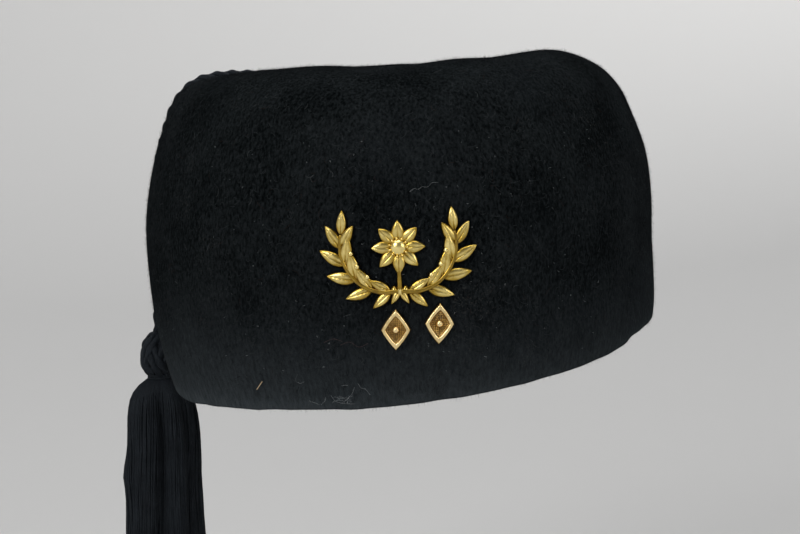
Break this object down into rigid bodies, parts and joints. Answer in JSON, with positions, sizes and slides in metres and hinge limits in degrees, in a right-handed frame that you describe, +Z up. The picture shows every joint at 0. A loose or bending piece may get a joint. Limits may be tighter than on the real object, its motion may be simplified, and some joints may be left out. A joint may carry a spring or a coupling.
{
  "type": "fez with tassel",
  "caption": "Black felt fez with an oval sunken top, an oblique rim, a hanging cord tassel at the wearer's right and gilt leaf-spray badge and studs on the front.",
  "frame": {"origin": "the middle of the head opening, level with the rim in front, where the hat sits on a head", "axes": "+Z up through the crown, -Y to the front where the badge is, +X to the wearer's left"},
  "size_m": [0.2001, 0.2185, 0.23],
  "materials": {
    "black_felt": "short velvety nap, matt",
    "black_thread": "twisted and loose thread, slight sheen",
    "gilt_brass": "satin gilt, stamped relief"
  },
  "bodies": {
    "root": {"crown": "black_felt", "crown_button": "black_thread", "cord": "black_thread", "tassel_knot": "black_thread", "tassel": "black_thread", "badge": "gilt_brass", "stud_right": "gilt_brass", "stud_left": "gilt_brass"}
  },
  "joints": []
}
